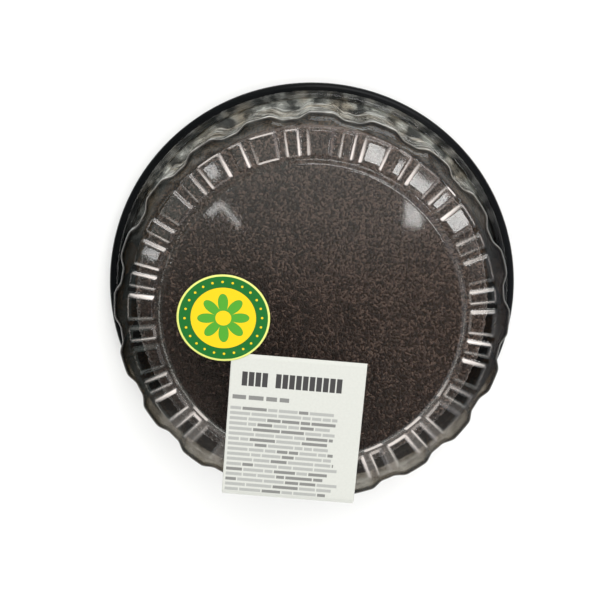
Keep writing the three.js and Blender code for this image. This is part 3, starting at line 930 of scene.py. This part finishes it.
def area_light(name, place, rotation, size, power):
    """A soft rectangular light."""
    light = bpy.data.lights.new(name, "AREA")
    light.shape = "RECTANGLE"
    light.size, light.size_y = size
    light.energy = power
    lamp = bpy.data.objects.new(name, light)
    lamp.location = place
    lamp.rotation_euler = rotation
    bpy.context.scene.collection.objects.link(lamp)


def room_brightness(s, x, y, middle, rightwards, endwards):
    """Light that changes by rightwards from the middle to the right, and by endwards to front and back."""
    across = s.math("MULTIPLY_ADD", x, rightwards, middle)
    return s.math("MULTIPLY_ADD", s.math("MULTIPLY", y, y), endwards, across)


def sky_brightness(s, direction):
    """Light from all round, brighter from the front and back than from the sides, with a dark patch
    overhead, which is black towards the front. What the lid mirrors is a dimmer room, darkest to the
    left, and the patch lies where its flat middle mirrors it to someone who looks down on it."""
    x, y, _ = s.node("ShaderNodeSeparateXYZ", Vector=direction).outputs
    lit = room_brightness(s, x, y, middle=1.18, rightwards=0.2, endwards=0.9)
    mirrored = room_brightness(s, x, y, middle=0.45, rightwards=0.35, endwards=0.5)
    room = s.mix_number(s.node("ShaderNodeLightPath").outputs["Is Glossy Ray"], lit, mirrored)
    patch_middle = (0.0, -0.227, 0.974)
    nearness = s.vector_math("DOT_PRODUCT", direction, patch_middle)["Value"]
    patch = s.span(y, -0.24, -0.02, 0.0, 0.68)
    return s.mix_number(s.span(nearness, 0.91, 0.955, 0.0, 1.0), room, patch)


def sky_colour(s, direction):
    """White light, but what the lid mirrors is greenish to the left and bluish to the right."""
    greenish, bluish = (0.80, 1.0, 0.88), (0.97, 0.96, 1.06)
    x = s.node("ShaderNodeSeparateXYZ", Vector=direction).outputs[0]
    tint = s.mix_colour(s.math("MULTIPLY_ADD", x, 0.5, 0.5), greenish, bluish)
    is_mirrored = s.node("ShaderNodeLightPath").outputs["Is Glossy Ray"]
    return s.mix_colour(is_mirrored, (1.0, 1.0, 1.0), tint)


def make_world():
    world = bpy.data.worlds.new("surroundings")
    bpy.context.scene.world = world
    s = Nodes(world)
    direction = s.node("ShaderNodeTexCoord").outputs["Generated"]
    strength, colour = sky_brightness(s, direction), sky_colour(s, direction)
    s.finish(s.node("ShaderNodeBackground", Color=colour, Strength=strength))


def eye_place():
    back = Vector((0, math.sin(CAMERA_TILT), math.cos(CAMERA_TILT)))
    return Vector((0, 0, RIM_TOP)) + CAMERA_DISTANCE * back


def mirrored_place(pixel, tilt):
    """Where a lamp hangs that the lid shows at this pixel of the picture. The lid is flat there, or
    falls outwards by tilt."""
    eye = eye_place()
    right, up = Vector((1, 0, 0)), Vector((0, math.cos(CAMERA_TILT), -math.sin(CAMERA_TILT)))
    ahead = Vector((0, -math.sin(CAMERA_TILT), -math.cos(CAMERA_TILT)))
    across, above = (pixel[0] - AIM_PIXEL[0]) / FOCAL_PIXELS, (AIM_PIXEL[1] - pixel[1]) / FOCAL_PIXELS
    ray = ahead + right * across + up * above
    spot = eye + ray * ((LID_TOP - eye.z) / ray.z)
    outward = Vector((spot.x, spot.y, 0)).normalized()
    away = ray.reflect(Vector((0, 0, math.cos(tilt))) + outward * math.sin(tilt))
    return spot + away * (LAMP_HEIGHT / away.z)


def mirrored_lamp(name, pixels, width, brightness, tilt=0.0):
    """A lamp of this width, as long as it has to be for the lid to show it from one pixel to another.
    Its brightness is that of a white surface in full light times this number."""
    first, last = (mirrored_place(pixel, tilt) for pixel in pixels)
    length = (last - first).length
    turn = math.atan2(last.y - first.y, last.x - first.x)
    power = brightness * math.pi * length * width
    area_light(name, (first + last) / 2, (0, 0, turn), (length, width), power)


def make_light():
    """The surroundings, a soft key light, and lamps over the lid which it mirrors."""
    make_world()
    lid_middle = Vector((0, 0, 0.09))
    key_rotation = (lid_middle - Vector(KEY_PLACE)).to_track_quat("-Z", "Y").to_euler()
    area_light("key", KEY_PLACE, key_rotation, KEY_SIZE, KEY_POWER)
    mirrored_lamp("strip", STRIP_PIXELS, 0.060, 8.0, PAD_TILT)
    mirrored_lamp("right_lamp", RIGHT_PIXELS, 0.045, 6.5)
    mirrored_lamp("left_lamp", LEFT_PIXELS, 0.012, 6.0)
    mirrored_lamp("left_lamp_low", LEFT_LOW_PIXELS, 0.009, 6.0)
    mirrored_lamp("upper_left_lamp", UPPER_LEFT_PIXELS, 0.030, 6.0, PAD_TILT)
    mirrored_lamp("far_left_lamp", FAR_LEFT_PIXELS, 0.030, 6.0, PAD_TILT)


def make_camera():
    camera = bpy.data.cameras.new("camera")
    camera.sensor_width = SENSOR
    camera.lens = SENSOR * FOCAL_PIXELS / PICTURE
    camera.shift_x = (PICTURE / 2 - AIM_PIXEL[0]) / PICTURE
    camera.shift_y = (AIM_PIXEL[1] - PICTURE / 2) / PICTURE
    eye = bpy.data.objects.new("camera", camera)
    eye.location = eye_place()
    eye.rotation_euler = (-CAMERA_TILT, 0, 0)
    bpy.context.scene.collection.objects.link(eye)
    bpy.context.scene.camera = eye


make_camera()
make_table()
make_light()
make_tray()
make_lid()
make_core()
make_sprinkles()
make_label()
make_sticker()
bpy.context.scene.view_settings.view_transform = "Standard"
# a ray through the pack crosses both faces of several clear sheets
bpy.context.scene.cycles.transparent_max_bounces = 24
